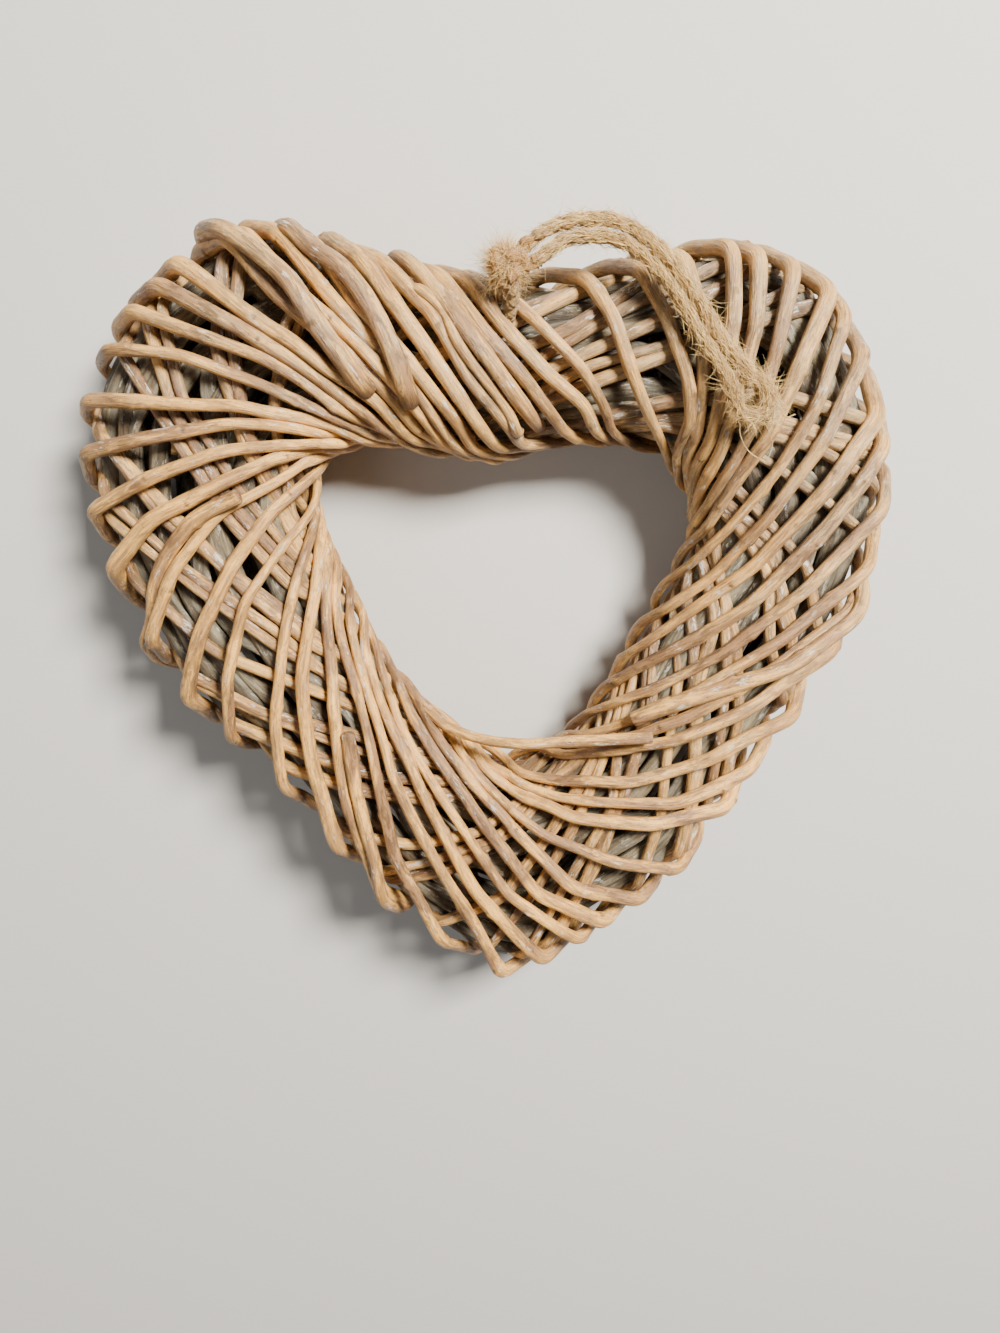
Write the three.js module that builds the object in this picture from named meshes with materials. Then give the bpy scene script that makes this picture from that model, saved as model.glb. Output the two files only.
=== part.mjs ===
// Wicker heart decoration: a heart-shaped ring of willow rods, lying on its back.
// Millimetres, +X right, +Y towards the top dip, +Z up out of the front face.
// The origin ends up under the middle of the wickerwork, on the surface that it lies on.
import * as THREE from 'three';

// Driving sizes
const HEART_WIDTH = 344;
const HEART_HEIGHT = 338;
const THICKNESS = 66;
const ROD_THICKNESS = 4.0;
const ROD_GAP = 0.5;
const CORE_INSET = 7.0;
const TWINE_DIAMETER = 5.0;
const TWINE_GAP = 0.5;
const KNOT_DIAMETER = 18;

// Winding: rods side by side, each wound round the ring several times
const RODS = 12;
const TURNS_PER_ROD = 4;
const TURNS = RODS * TURNS_PER_ROD;
const ROD_SIDES = 6;

// Fullness of the rounded section: a higher power is squarer
const OUTER_FULLNESS = 3.2;
const INNER_FULLNESS = 2.0;
const BACK_FLATNESS = 1.06;

// How near to each edge a rod turns over it, as a share of half the ring's width
const OUTER_KINK = 0.86;
const INNER_KINK = 0.90;

// Share of a rod's sweep that follows the ring, not the straight line between its two kinks
const SWEEP = 0.7;

// Where a rod is bent between its kinks, as shares of the way from the first one to the second
const BACK_BENDS = [0.33, 0.67];
const FRONT_BENDS = [0.14, 0.32, 0.55, 0.8];

// Rod advance round each edge, in outline stations
const OUTER_EDGE_ADVANCE = 0.3;
const INNER_EDGE_ADVANCE = 0.35;
const INNER_BACK_ADVANCE = 0.8;

// The two edges of the ring, anticlockwise from the bottom tip, stretched below to the heart's size
const OUTER_EDGE = [
  [6, -17], [52, 12], [88, 40], [113, 82], [137, 123], [156, 165], [167, 218], [158, 254],
  [133, 298], [92, 314], [46, 306], [-4, 301], [-50, 309], [-100, 321], [-145, 296], [-172, 260],
  [-178, 218], [-165, 166], [-140, 120], [-107, 87], [-73, 45], [-40, 9],
];
const INNER_EDGE = [
  [5, 94], [20, 99.5], [36, 112], [48, 130], [60, 153], [70, 171], [80, 190], [81, 206],
  [72, 223], [52, 232], [25, 231], [-5, 224.5], [-33, 230.5], [-58, 231], [-72, 226], [-77, 213],
  [-76, 199], [-68, 180], [-58, 158], [-48, 136], [-33, 118], [-12, 102],
];
const STATIONS = OUTER_EDGE.length;

// Outline stations where every fourth turn leaves the inner edge and where it turns over the outer edge
const INNER_LANDMARKS = [-4.0, -1.4, 0.6, 3.1, 5.3, 7.1, 8.6, 10.2, 11.2, 12.3, 14.1, 16.2];
const OUTER_LANDMARKS = [-0.1, 1.5, 4.2, 5.75, 7.75, 9.3, 11.0, 12.2, 13.2, 14.7, 17.0, 19.1];

// Middle line of the winding's surface: half the thickness less half a rod
const SURFACE_HEIGHT = THICKNESS / 2 - ROD_THICKNESS / 2;
const ROD_CORNER_RADIUS = ROD_THICKNESS / 2 / Math.cos(Math.PI / ROD_SIDES);

const PEELED_WILLOW = { color: 0xb99a74, roughness: 0.72, metalness: 0 };
const CORE_WILLOW = { color: 0x8d8069, roughness: 0.85, metalness: 0 };
const JUTE = { color: 0xb8935c, roughness: 0.95, metalness: 0 };

function span(values) {
  return Math.max(...values) - Math.min(...values);
}

const stretchX = HEART_WIDTH / span(OUTER_EDGE.map(([x]) => x));
const stretchY = HEART_HEIGHT / span(OUTER_EDGE.map(([, y]) => y));

function closedCurve(points) {
  const corners = points.map(([x, y]) => new THREE.Vector3(x * stretchX, y * stretchY, 0));
  return new THREE.CatmullRomCurve3(corners, true, 'catmullrom', 0.5);
}

const outerCurve = closedCurve(OUTER_EDGE);
const innerCurve = closedCurve(INNER_EDGE);

function wrap(value, period) {
  return ((value % period) + period) % period;
}

// Point of an edge at a station, moved by inset to the left of the way round
function edgePoint(curve, station, inset) {
  const t = wrap(station, STATIONS) / STATIONS;
  const point = curve.getPoint(t);
  const along = curve.getTangent(t);
  return new THREE.Vector2(point.x - along.y * inset, point.y + along.x * inset);
}

// Point of the ring: across is -1 at the inner edge and +1 at the outer one
function ringPoint(station, across, inset) {
  const inner = edgePoint(innerCurve, station, -inset);
  const outer = edgePoint(outerCurve, station, inset);
  return inner.lerp(outer, (across + 1) / 2);
}

// Samples of both edges, from which a point's place across the ring is read
const EDGE_SAMPLES = 40 * STATIONS;
const rodInset = ROD_THICKNESS / 2;
const sampleStations = Array.from({ length: EDGE_SAMPLES }, (_, i) => i * STATIONS / EDGE_SAMPLES);
const outerSamples = sampleStations.map((station) => edgePoint(outerCurve, station, rodInset));
const innerSamples = sampleStations.map((station) => edgePoint(innerCurve, station, -rodInset));

function distanceTo(samples, point) {
  return Math.min(...samples.map((sample) => sample.distanceTo(point)));
}

function acrossAt(point) {
  const toOuter = distanceTo(outerSamples, point);
  const toInner = distanceTo(innerSamples, point);
  return (toInner - toOuter) / (toInner + toOuter);
}

// Height share of the rounded section at a place across the ring
function sectionShare(across) {
  const power = across > 0 ? OUTER_FULLNESS : INNER_FULLNESS;
  return (1 - Math.min(Math.abs(across), 1) ** power) ** (1 / power);
}

function frontHeight(across) {
  return SURFACE_HEIGHT * sectionShare(across);
}

// The back is the same section, flattened where the heart lies on it
function backHeight(across) {
  return -SURFACE_HEIGHT * Math.min(1, BACK_FLATNESS * sectionShare(across));
}

// Station of a turn between landmarks that lie four turns apart, with slopes that keep the order
function windingStation(landmarks, turn) {
  const count = landmarks.length;
  const place = turn * count / TURNS;
  const index = Math.floor(place);
  const t = place - index;
  const value = (i) => landmarks[wrap(i, count)] + STATIONS * Math.floor(i / count);
  const [before, start, end, after] = [-1, 0, 1, 2].map((step) => value(index + step));
  const rise = end - start;
  const startSlope = Math.min((end - before) / 2, 3 * Math.min(rise, start - before));
  const endSlope = Math.min((after - start) / 2, 3 * Math.min(rise, after - end));
  return (2 * t ** 3 - 3 * t ** 2 + 1) * start + (t ** 3 - 2 * t ** 2 + t) * startSlope
    + (3 * t ** 2 - 2 * t ** 3) * end + (t ** 3 - t ** 2) * endSlope;
}

// A turn starts and ends on the outer edge: across the back, up the inner edge, across the front
function turnPath(turn) {
  const inner = windingStation(INNER_LANDMARKS, turn);
  const outer = windingStation(OUTER_LANDMARKS, turn);
  const outerBefore = windingStation(OUTER_LANDMARKS, turn - RODS);
  const innerMiddle = inner - INNER_EDGE_ADVANCE;
  const innerBack = inner - INNER_BACK_ADVANCE;
  const outerBack = outerBefore + 2 * OUTER_EDGE_ADVANCE;
  const path = [];

  const add = (point, height, outward) => {
    path.push({
      at: new THREE.Vector3(point.x, point.y, height),
      outward: outward.clone().normalize(),
    });
  };
  // Way out of the ring at a station, from its middle line towards an edge
  const sideways = (station, across) => {
    const way = ringPoint(station, across, rodInset).sub(ringPoint(station, 0, rodInset));
    return new THREE.Vector3(way.x, way.y, 0).normalize();
  };
  // A turn ends square to the line over the outer edge, a little short of the next one
  const addEnd = (station, direction) => {
    const front = ringPoint(station - OUTER_EDGE_ADVANCE, OUTER_KINK, rodInset);
    const back = ringPoint(station + OUTER_EDGE_ADVANCE, OUTER_KINK, rodInset);
    const way = new THREE.Vector3(back.x - front.x, back.y - front.y, -2 * frontHeight(OUTER_KINK));
    add(ringPoint(station, 1, rodInset), 0, sideways(station, 1));
    const end = path[path.length - 1];
    end.way = way.normalize();
    end.at.addScaledVector(end.way, direction * ROD_GAP / 2);
  };
  const tilted = (station, across, up) => sideways(station, across).add(new THREE.Vector3(0, 0, up));
  const sweep = (from, fromAcross, to, toAcross, t) => {
    const straight = ringPoint(from, fromAcross, rodInset).lerp(ringPoint(to, toAcross, rodInset), t);
    const round = ringPoint(
      THREE.MathUtils.lerp(from, to, t), THREE.MathUtils.lerp(fromAcross, toAcross, t), rodInset);
    return straight.lerp(round, SWEEP);
  };
  const up = new THREE.Vector3(0, 0, 1);
  const down = new THREE.Vector3(0, 0, -1);

  addEnd(outerBefore + OUTER_EDGE_ADVANCE, 1);
  add(ringPoint(outerBack, OUTER_KINK, rodInset), -frontHeight(OUTER_KINK), tilted(outerBack, 1, -1));
  for (const t of BACK_BENDS) {
    const point = sweep(outerBack, OUTER_KINK, innerBack, -INNER_KINK, t);
    add(point, backHeight(acrossAt(point)), down);
  }
  add(ringPoint(innerBack, -INNER_KINK, rodInset), -frontHeight(-INNER_KINK), tilted(innerBack, -1, -1));
  add(ringPoint(innerMiddle, -1, rodInset), 0, sideways(innerMiddle, -1));
  add(ringPoint(inner, -INNER_KINK, rodInset), frontHeight(-INNER_KINK), tilted(inner, -1, 1));
  for (const t of FRONT_BENDS) {
    const point = sweep(inner, -INNER_KINK, outer, OUTER_KINK, t);
    add(point, frontHeight(acrossAt(point)), up);
  }
  add(ringPoint(outer, OUTER_KINK, rodInset), frontHeight(OUTER_KINK), tilted(outer, 1, 1));
  addEnd(outer + OUTER_EDGE_ADVANCE, -1);
  return path;
}

// Closed surface through rings of points, with a flat cap at each open end or joined end to end
function loftGeometry(rings, joined) {
  const sides = rings[0].length;
  const positions = rings.flat().flatMap((point) => [point.x, point.y, point.z]);
  const indices = [];
  const spans = joined ? rings.length : rings.length - 1;
  for (let i = 0; i < spans; i += 1) {
    const next = (i + 1) % rings.length;
    for (let j = 0; j < sides; j += 1) {
      const a = i * sides + j;
      const b = i * sides + (j + 1) % sides;
      const c = next * sides + (j + 1) % sides;
      const d = next * sides + j;
      indices.push(a, b, c, a, c, d);
    }
  }
  if (!joined) {
    const last = (rings.length - 1) * sides;
    for (let j = 1; j < sides - 1; j += 1) {
      indices.push(0, j + 1, j);
      indices.push(last, last + j, last + j + 1);
    }
  }
  const geometry = new THREE.BufferGeometry();
  geometry.setAttribute('position', new THREE.Float32BufferAttribute(positions, 3));
  geometry.setIndex(indices);
  geometry.computeVertexNormals();
  return geometry;
}

// A rod with flat sides, one of them always facing out of the ring: at each bend its section
// holds the way out and the line across the two stretches that meet there
function rodGeometry(path) {
  const rings = path.map((node, i) => {
    const before = path[Math.max(i - 1, 0)].at;
    const after = path[Math.min(i + 1, path.length - 1)].at;
    const arriving = node.at.clone().sub(before).normalize();
    const leaving = after.clone().sub(node.at).normalize();
    const way = node.way ?? arriving.clone().add(leaving).normalize();
    const aside = new THREE.Vector3().crossVectors(way, node.outward).normalize();
    return Array.from({ length: ROD_SIDES }, (_, j) => {
      const angle = (j + 0.5) * 2 * Math.PI / ROD_SIDES;
      return node.at.clone()
        .addScaledVector(node.outward, ROD_CORNER_RADIUS * Math.cos(angle))
        .addScaledVector(aside, ROD_CORNER_RADIUS * Math.sin(angle));
    });
  });
  return loftGeometry(rings, false);
}

// Core: a ring whose section is a bundle of lengthwise rods under the winding
const CORE_STATIONS = 2 * STATIONS;
const CORE_RODS = 10;
const CORE_GROOVE = 0.05;

function coreGeometry() {
  const inset = rodInset + CORE_INSET;
  const rings = Array.from({ length: CORE_STATIONS }, (_, i) => {
    const station = i * STATIONS / CORE_STATIONS;
    return Array.from({ length: 2 * CORE_RODS }, (_, j) => {
      const angle = -Math.PI * j / CORE_RODS;
      const groove = j % 2 === 0 ? 1 : 1 - CORE_GROOVE;
      const across = groove * Math.sign(Math.cos(angle)) * Math.abs(Math.cos(angle)) ** 0.75;
      const height = groove * Math.sign(Math.sin(angle)) * Math.abs(Math.sin(angle)) ** 0.75;
      const point = ringPoint(station, across, inset);
      return new THREE.Vector3(point.x, point.y, (SURFACE_HEIGHT - CORE_INSET) * height);
    });
  });
  return loftGeometry(rings, true);
}

// Knot: a lumpy ball of jute on the outer shoulder of the top dip
const KNOT_STATION = 10.86;
const KNOT_LEAN = Math.PI / 3;
const KNOT_LUMP = 0.08;

function knotPlace() {
  const shoulder = ringPoint(KNOT_STATION, OUTER_KINK, rodInset);
  const way = ringPoint(KNOT_STATION, 1, 0).sub(ringPoint(KNOT_STATION, 0, 0)).normalize();
  const distance = KNOT_DIAMETER / 2 * (1 + KNOT_LUMP) + ROD_CORNER_RADIUS + TWINE_GAP;
  return new THREE.Vector3(
    shoulder.x + way.x * distance * Math.cos(KNOT_LEAN),
    shoulder.y + way.y * distance * Math.cos(KNOT_LEAN),
    frontHeight(OUTER_KINK) + distance * Math.sin(KNOT_LEAN));
}

function knotGeometry() {
  const geometry = new THREE.SphereGeometry(KNOT_DIAMETER / 2, 16, 10);
  const position = geometry.getAttribute('position');
  const point = new THREE.Vector3();
  for (let i = 0; i < position.count; i += 1) {
    point.fromBufferAttribute(position, i);
    const { x, y, z } = point.clone().normalize();
    const lump = 1 + KNOT_LUMP * Math.sin(4 * x + 1) * Math.sin(5 * y) * Math.cos(4 * z);
    point.multiplyScalar(lump);
    position.setXYZ(i, point.x, point.y, point.z);
  }
  geometry.computeVertexNormals();
  return geometry;
}

// Loop of twine, from the knot over the right lobe and back
const LOOP_POINTS = [
  [13.6, 301.6, 35.9], [20.5, 306.6, 36.2], [28.0, 309.5, 36.5], [41.0, 309.3, 37.0],
  [52.4, 303.7, 38.0], [61.9, 294.9, 38.2], [69.5, 284.6, 38.6], [76.7, 274.1, 38.8],
  [84.1, 264.2, 38.8], [90.2, 253.9, 38.8], [92.3, 247.6, 38.8], [96.6, 245.1, 38.8],
  [101.4, 246.3, 38.8], [103.9, 250.6, 38.8], [102.7, 255.4, 38.8], [97.3, 259.6, 38.8],
  [88.9, 267.8, 38.8], [81.3, 277.4, 38.8], [74.0, 287.9, 38.6], [66.1, 298.6, 38.2],
  [56.1, 307.8, 38.0], [43.0, 314.9, 37.0], [28.0, 315.5, 36.5], [18.5, 312.8, 36.2],
  [10.3, 307.6, 35.9],
];
const LOOP_STEPS = 30;
const LOOP_SIDES = 8;

function loopGeometry() {
  const points = LOOP_POINTS.map(([x, y, z]) => new THREE.Vector3(x, y, z));
  const route = new THREE.CatmullRomCurve3(points, false, 'centripetal');
  const section = new THREE.Shape();
  for (let j = 0; j < LOOP_SIDES; j += 1) {
    const angle = 2 * Math.PI * j / LOOP_SIDES;
    const x = TWINE_DIAMETER / 2 * Math.cos(angle);
    const y = TWINE_DIAMETER / 2 * Math.sin(angle);
    if (j === 0) {
      section.moveTo(x, y);
    } else {
      section.lineTo(x, y);
    }
  }
  section.closePath();
  return new THREE.ExtrudeGeometry(section, { steps: LOOP_STEPS, extrudePath: route });
}

function namedMesh(name, geometry, look) {
  const mesh = new THREE.Mesh(geometry, new THREE.MeshStandardMaterial(look));
  mesh.name = name;
  return mesh;
}

const wickerwork = new THREE.Group();
wickerwork.add(namedMesh('core_bundle', coreGeometry(), CORE_WILLOW));

// Turn k of the winding belongs to rod k modulo 12, so a rod comes round again every 12 turns
for (let turn = 0; turn < TURNS; turn += 1) {
  const rod = String(1 + turn % RODS).padStart(2, '0');
  const name = `outer_rod_${rod}_turn_${1 + Math.floor(turn / RODS)}`;
  wickerwork.add(namedMesh(name, rodGeometry(turnPath(turn)), PEELED_WILLOW));
}

const hanger = new THREE.Group();
const knot = namedMesh('hanger_knot', knotGeometry(), JUTE);
knot.position.copy(knotPlace());
hanger.add(knot);
hanger.add(namedMesh('hanger_loop', loopGeometry(), JUTE));

const heart = new THREE.Group();
const extent = new THREE.Box3().setFromObject(wickerwork);
const middle = extent.getCenter(new THREE.Vector3());
heart.add(wickerwork, hanger);
heart.position.set(-middle.x, -middle.y, -extent.min.z);

export default heart;
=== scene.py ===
import math

import bpy
import numpy as np
from mathutils import Matrix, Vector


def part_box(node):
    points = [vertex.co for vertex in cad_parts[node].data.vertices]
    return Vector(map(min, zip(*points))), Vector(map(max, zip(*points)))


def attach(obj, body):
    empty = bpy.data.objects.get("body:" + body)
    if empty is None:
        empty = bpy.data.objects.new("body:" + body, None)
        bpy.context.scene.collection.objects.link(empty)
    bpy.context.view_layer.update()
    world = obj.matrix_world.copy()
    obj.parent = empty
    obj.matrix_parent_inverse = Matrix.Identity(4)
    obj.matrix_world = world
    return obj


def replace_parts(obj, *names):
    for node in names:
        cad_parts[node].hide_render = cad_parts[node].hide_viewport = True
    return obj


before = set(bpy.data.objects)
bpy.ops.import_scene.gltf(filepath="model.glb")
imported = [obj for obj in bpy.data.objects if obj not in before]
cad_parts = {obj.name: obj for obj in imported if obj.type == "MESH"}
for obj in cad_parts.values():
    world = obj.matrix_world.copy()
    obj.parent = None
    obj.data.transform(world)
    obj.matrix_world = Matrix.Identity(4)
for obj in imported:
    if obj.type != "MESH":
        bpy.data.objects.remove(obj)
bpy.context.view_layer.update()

MM = 0.001
RNG = np.random.default_rng(11)

# The drawing of the heart is in millimetres, with its middle plane at height 0. This moves it so that
# its box has its middle over the origin and its back at height 0.
DRAWING_TO_ROW = np.array((5.2996, -153.2022, 33.0))
# The edges are drawn 345 across, and the heart is 344
STRETCH = np.array((344 / 345, 1.0))

# The two edges of the ring, anticlockwise from the bottom tip
OUTER_EDGE = np.array([
    (6, -17), (52, 12), (88, 40), (113, 82), (137, 123), (156, 165), (167, 218), (158, 254),
    (133, 298), (92, 314), (46, 306), (-4, 301), (-50, 309), (-100, 321), (-145, 296), (-172, 260),
    (-178, 218), (-165, 166), (-140, 120), (-107, 87), (-73, 45), (-40, 9)], float) * STRETCH
INNER_EDGE = np.array([
    (5, 94), (20, 99.5), (36, 112), (48, 130), (60, 153), (70, 171), (80, 190), (81, 206),
    (72, 223), (52, 232), (25, 231), (-5, 224.5), (-33, 230.5), (-58, 231), (-72, 226), (-77, 213),
    (-76, 199), (-68, 180), (-58, 158), (-48, 136), (-33, 118), (-12, 102)], float) * STRETCH
STATIONS = 22
SAMPLES_PER_STATION = 40
ROD_MIDDLE_HEIGHT = 31.0
# The powers of the rounded section on its two halves
OUTER_FULLNESS = 3.2
INNER_FULLNESS = 2.0
# How far across the ring a rod bends by each edge, on the front and on the back
OUTER_KINK = 0.86
INNER_KINK = 0.90
# How far inside the edges the middles of the outer rods run
OUTER_INSET = 2.0
# Where a turn passes each edge, and where it bends on the back, from its bend on the front, in stations
OUTER_EDGE_STEP = 0.3
OUTER_BACK_STEP = 0.6
INNER_EDGE_STEP = 0.55
INNER_BACK_STEP = 1.15
# The back's section is this much fuller than the front's, and cut off level
BACK_FULLNESS = 1.06
# The share of the straight line in a bend, the rest being the ring's own sweep
STRAIGHT_SHARE = 0.6
# How much more height counts than width in the way out of the wickerwork
HEIGHT_WEIGHT = 1.3
RODS = 12
TURNS_PER_ROD = 4
TURNS = RODS * TURNS_PER_ROD

# Where each turn leaves the inner edge and where it turns over the outer edge, in stations
TURN_STATIONS = np.array([
    (-4.10, -0.08), (-3.56, 0.35), (-3.06, 0.70), (-2.21, 0.98), (-1.51, 1.38), (-1.05, 1.96),
    (-0.76, 2.74), (-0.48, 3.15), (0.22, 3.80), (1.30, 4.57), (1.65, 4.99), (2.00, 5.37),
    (2.70, 5.79), (3.35, 6.45), (4.00, 6.90), (4.75, 7.38), (5.75, 7.72), (6.55, 8.05),
    (7.05, 8.40), (7.40, 8.72), (7.65, 9.02), (7.85, 9.45), (8.10, 9.80), (8.55, 10.25),
    (9.25, 10.90), (9.60, 11.15), (9.95, 11.45), (10.50, 11.85), (10.85, 12.06), (11.20, 12.46),
    (11.45, 12.74), (11.68, 12.92), (11.90, 13.18), (12.12, 13.64), (12.32, 13.86), (12.50, 14.15),
    (12.72, 14.54), (13.02, 15.08), (13.25, 15.68), (13.50, 16.20), (13.85, 16.68), (14.20, 17.28),
    (14.85, 17.96), (15.70, 18.42), (16.28, 19.20), (16.65, 19.87), (17.00, 20.46), (17.38, 21.28)])


def unit(vectors):
    """Vectors, along the last axis, made one long."""
    return vectors / np.linalg.norm(vectors, axis=-1, keepdims=True)


def edge_point(edge, station, inset):
    """Point of a closed edge at a station, by a uniform Catmull-Rom curve through its corners, moved
    by inset to the left of the way round."""
    station = np.asarray(station, float) % STATIONS
    i = np.floor(station).astype(int)
    t = (station - i)[..., None]
    p0, p1, p2, p3 = (edge[(i + step) % STATIONS] for step in (-1, 0, 1, 2))
    a = 2 * p0 - 5 * p1 + 4 * p2 - p3
    b = 3 * p1 - 3 * p2 + p3 - p0
    point = 0.5 * (2 * p1 + (p2 - p0) * t + a * t ** 2 + b * t ** 3)
    along = unit(0.5 * (p2 - p0 + 2 * a * t + 3 * b * t ** 2))
    return point + inset * np.stack((-along[..., 1], along[..., 0]), -1)


def ring_point(station, across, inset):
    """Point of the ring: the straight line from its inner edge, across -1, to its outer edge, +1."""
    share = ((np.asarray(across, float) + 1) / 2)[..., None]
    inner = edge_point(INNER_EDGE, station, -inset)
    outer = edge_point(OUTER_EDGE, station, inset)
    return inner * (1 - share) + outer * share


EVERY_STATION = np.linspace(0, STATIONS, SAMPLES_PER_STATION * STATIONS, endpoint=False)
MIDDLE_LINE = ring_point(EVERY_STATION, 0.0 * EVERY_STATION, OUTER_INSET)


def nearest(samples, points):
    """Distance from each point to the nearest sample, and that sample's number."""
    gaps = np.linalg.norm(points[..., None, :] - samples, axis=-1)
    return gaps.min(-1), gaps.argmin(-1)


def across_at(points, inset=OUTER_INSET):
    """How far across the ring a point is: the difference of its distances to both edges over their sum."""
    to_outer = nearest(edge_point(OUTER_EDGE, EVERY_STATION, inset), points)[0]
    to_inner = nearest(edge_point(INNER_EDGE, EVERY_STATION, -inset), points)[0]
    return (to_inner - to_outer) / (to_inner + to_outer)


def section_height(across, middle_height):
    """Height of the rounded section: a superellipse, squarer on its outer half than on its inner half."""
    across = np.asarray(across, float)
    power = np.where(across > 0, OUTER_FULLNESS, INNER_FULLNESS)
    return middle_height * (1 - np.minimum(np.abs(across), 1) ** power) ** (1 / power)


def turn_knots(inner, outer, outer_before, hand, inset):
    """Bends of each turn, as one array of turns by 11 by 3: from the outer edge across the back, up the
    inner edge and across the front. Between two kinks a bend lies between the straight line and the
    ring's own sweep. Hand is 1 or -1 for the two ways round."""
    height = ROD_MIDDLE_HEIGHT + OUTER_INSET - inset
    start = outer_before + OUTER_EDGE_STEP * hand
    outer_back = outer_before + OUTER_BACK_STEP * hand
    inner_back = inner - INNER_BACK_STEP * hand
    ones = np.ones_like(inner)
    kink_height = section_height(OUTER_KINK, height)
    inner_height = section_height(-INNER_KINK, height)

    def bend(source, source_across, target, target_across, t, side):
        straight = (ring_point(source, source_across * ones, inset) * (1 - t)
                    + ring_point(target, target_across * ones, inset) * t)
        swept = ring_point(source * (1 - t) + target * t,
                           (source_across * (1 - t) + target_across * t) * ones, inset)
        point = straight * STRAIGHT_SHARE + swept * (1 - STRAIGHT_SHARE)
        share = section_height(across_at(point, inset), 1.0)
        level = height * share if side > 0 else -height * np.minimum(1, BACK_FULLNESS * share)
        return np.column_stack((point, level))

    def placed(station, across, level):
        return np.column_stack((ring_point(station, across * ones, inset), level * ones))

    knots = [placed(start, 1.0, 0.0), placed(outer_back, OUTER_KINK, -kink_height)]
    knots += [bend(outer_back, OUTER_KINK, inner_back, -INNER_KINK, t, -1) for t in (0.33, 0.67)]
    knots += [placed(inner_back, -INNER_KINK, -inner_height)]
    knots += [placed(inner - INNER_EDGE_STEP * hand, -1.0, 0.0), placed(inner, -INNER_KINK, inner_height)]
    knots += [bend(inner, -INNER_KINK, outer, OUTER_KINK, t, 1) for t in (0.17, 0.42, 0.72)]
    knots += [placed(outer, OUTER_KINK, kink_height)]
    return np.stack(knots, 1)


def run_along(path):
    """How far along a path each of its points is."""
    return np.r_[0, np.cumsum(np.linalg.norm(np.diff(path, axis=0), axis=1))]


def evenly_spaced(line, count, with_last):
    """Count points evenly spaced along a line of short straight steps, with its last point or without."""
    length = run_along(line)
    marks = np.linspace(0, length[-1], count, endpoint=with_last)
    return np.column_stack([np.interp(marks, length, line[:, axis]) for axis in range(3)])


def smoothed(values, rounds, axis=0):
    """Values round a closed path, each put a quarter of the way to both its neighbours in each round."""
    for again in range(rounds):
        values = (np.roll(values, 1, axis) + 2 * values + np.roll(values, -1, axis)) / 4
    return values


def smooth_path(knots, count):
    """Centripetal Catmull-Rom curve through the knots, as count points evenly spaced along it."""
    knots = np.asarray(knots, float)
    line = np.vstack((2 * knots[0] - knots[1], knots, 2 * knots[-1] - knots[-2]))
    step = np.sqrt(np.linalg.norm(np.diff(line, axis=0), axis=1))[:, None]
    p0, p1, p2, p3 = line[:-3], line[1:-2], line[2:-1], line[3:]
    s0, s1, s2 = step[:-2], step[1:-1], step[2:]
    m1 = s1 * ((p1 - p0) / s0 - (p2 - p0) / (s0 + s1) + (p2 - p1) / s1)
    m2 = s1 * ((p2 - p1) / s1 - (p3 - p1) / (s1 + s2) + (p3 - p2) / s2)
    t = np.linspace(0, 1, 24, endpoint=False)[None, :, None]
    curve = ((2 * t ** 3 - 3 * t ** 2 + 1) * p1[:, None] + (t ** 3 - 2 * t ** 2 + t) * m1[:, None]
             + (3 * t ** 2 - 2 * t ** 3) * p2[:, None] + (t ** 3 - t ** 2) * m2[:, None]).reshape(-1, 3)
    return evenly_spaced(np.vstack((curve, p2[-1:])), count, True)


def bent_path(knots, count, rounds=12):
    """Closed path of straight stretches between bends, as count evenly spaced points, then smoothed."""
    return smoothed(evenly_spaced(np.vstack((knots, knots[:1])), count, False), rounds)


def unsettled(knots, sideways, outwards):
    """Each bend of a rod moved a little by chance, along the ring and out of it."""
    outward = away_from_middle(knots)
    aside = path_frames(knots, outward, True)[2]
    return (knots + aside * RNG.normal(0, sideways, (len(knots), 1))
            + outward * RNG.normal(0, outwards, (len(knots), 1)))


def wave(count, waves, amount, closed=True):
    """A slow seeded wander: a sum of sines with whole numbers of waves along the path."""
    t = np.linspace(0, 1, count, endpoint=not closed)[:, None]
    number = RNG.integers(max(1, waves // 3), waves + 1, 6)
    phase = RNG.uniform(0, 2 * math.pi, 6)
    strength = RNG.normal(0, 1, 6) * amount / math.sqrt(3)
    return (strength * np.sin(2 * math.pi * number * t + phase)).sum(1)


def away_from_middle(points):
    """Unit vectors away from the ring's middle line: the way out of the wickerwork."""
    out = np.empty_like(points)
    place = nearest(MIDDLE_LINE, points[:, :2])[1]
    out[:, :2] = points[:, :2] - MIDDLE_LINE[place]
    out[:, 2] = points[:, 2] * HEIGHT_WEIGHT
    return unit(out)


def path_frames(path, outward, closed):
    """Unit vectors along the path, out of the wickerwork and aside, at each point of it."""
    along = unit(np.roll(path, -1, 0) - np.roll(path, 1, 0) if closed else np.gradient(path, axis=0))
    aside = unit(np.cross(along, outward))
    return along, np.cross(aside, along), aside


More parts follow.
